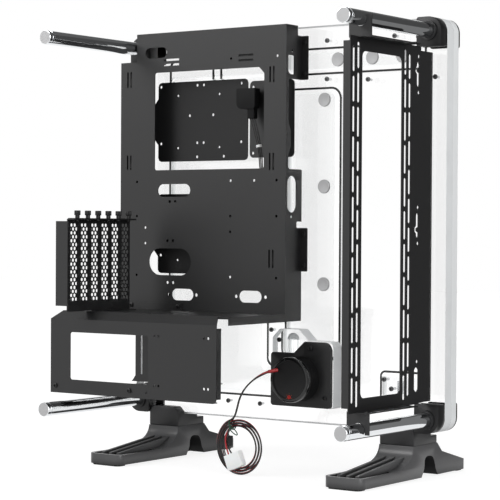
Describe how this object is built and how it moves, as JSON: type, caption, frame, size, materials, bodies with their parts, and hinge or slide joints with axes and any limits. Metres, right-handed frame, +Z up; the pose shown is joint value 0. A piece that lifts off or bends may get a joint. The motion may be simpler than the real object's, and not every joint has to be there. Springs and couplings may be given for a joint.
{
  "type": "open-frame computer case",
  "caption": "Open-frame computer case: clear water-distribution plate on feet with corner posts, folded board tray, power-supply cover, expansion-slot frame, radiator bracket and pump",
  "frame": {"origin": "middle of the case's footprint on the floor, without the loose cords", "axes": "X to the right seen from the front, Y from the front to the back, Z up"},
  "size_m": [0.4874, 0.323, 0.5656],
  "materials": {
    "clear_acrylic": "polished clear acrylic",
    "black_steel": "matt black powder coat on sheet steel",
    "chrome_tube": "bright chrome plate",
    "satin_aluminium": "satin turned aluminium",
    "black_plastic": "fine-grained black moulding",
    "grey_plastic": "fine-grained dark grey moulding",
    "gasket_rubber": "smooth black rubber cord",
    "pad_rubber": "matt black rubber",
    "red_plastic": "red moulding",
    "white_plastic": "natural white moulding",
    "tie_plastic": "dark green coated wire tie",
    "lead_insulation": "red and black wire insulation",
    "cable_insulation": "black wire insulation"
  },
  "bodies": {
    "case": {"bracket_spacers": "satin_aluminium", "case_screws": "black_steel", "corner_clip_lower_left": "black_plastic", "corner_clip_lower_right": "black_plastic", "corner_clip_upper_left": "black_plastic", "corner_clip_upper_right": "black_plastic", "distro_back_plate": "clear_acrylic", "distro_front_plate": "clear_acrylic", "drain_plug": "satin_aluminium", "drive_bracket_lower": "black_steel", "drive_bracket_upper": "black_steel", "foot_base_left": "grey_plastic", "foot_base_right": "grey_plastic", "foot_pads": "pad_rubber", "foot_saddle_left": "grey_plastic", "foot_saddle_right": "grey_plastic", "gasket_drain_channel": "gasket_rubber", "gasket_left_reservoir": "gasket_rubber", "gasket_right_reservoir": "gasket_rubber", "gasket_top_channel": "gasket_rubber", "lead_coil": "lead_insulation", "lead_tie": "tie_plastic", "motherboard_tray": "black_steel", "panel_cable_tie": "white_plastic", "panel_cables": "cable_insulation", "panel_connectors": "black_plastic", "panel_housing": "black_plastic", "plate_screws": "black_steel", "port_plugs": "satin_aluminium", "power_connector": "white_plastic", "psu_cover": "black_steel", "psu_shelf": "black_steel", "psu_support": "black_steel", "pump_body": "black_plastic", "pump_flange": "black_plastic", "pump_lead": "lead_insulation", "pump_screws": "black_steel", "pump_top": "clear_acrylic", "radiator_bracket": "black_steel", "rear_corner_pads": "black_plastic", "slot_cover_1": "black_steel", "slot_cover_2": "black_steel", "slot_cover_3": "black_steel", "slot_cover_4": "black_steel", "slot_cover_5": "black_steel", "slot_cover_6": "black_steel", "slot_frame": "black_steel", "slot_thumb_screws": "black_steel", "speed_connector": "black_plastic", "ssd_bracket": "black_steel", "standoff_tube_lower_left": "chrome_tube", "standoff_tube_lower_right": "chrome_tube", "standoff_tube_upper_left": "chrome_tube", "standoff_tube_upper_right": "chrome_tube", "tube_end_caps": "satin_aluminium"},
    "power_button": {"power_button": "satin_aluminium"},
    "reset_button": {"reset_button": "satin_aluminium"},
    "dial": {"pump_dial": "red_plastic"},
    "impeller": {"pump_impeller": "grey_plastic"}
  },
  "joints": [
    {"name": "power_press", "type": "slide", "parent": "case", "child": "power_button", "axis": [0, 0, -1], "range_m": [0, 0.0012], "stiffness_N_per_m": 800, "springref_m": -0.001},
    {"name": "reset_press", "type": "slide", "parent": "case", "child": "reset_button", "axis": [0, 0, -1], "range_m": [0, 0.0012], "stiffness_N_per_m": 800, "springref_m": -0.001},
    {"name": "dial_turn", "type": "hinge", "parent": "case", "child": "dial", "pos_m": [0.0492, -0.003, 0.0948], "axis": [0, 1, 0], "range_deg": [-150, 150]},
    {"name": "impeller_spin", "type": "hinge", "parent": "case", "child": "impeller", "pos_m": [0.0492, 0.032, 0.1164], "axis": [0, 1, 0], "continuous": true}
  ]
}
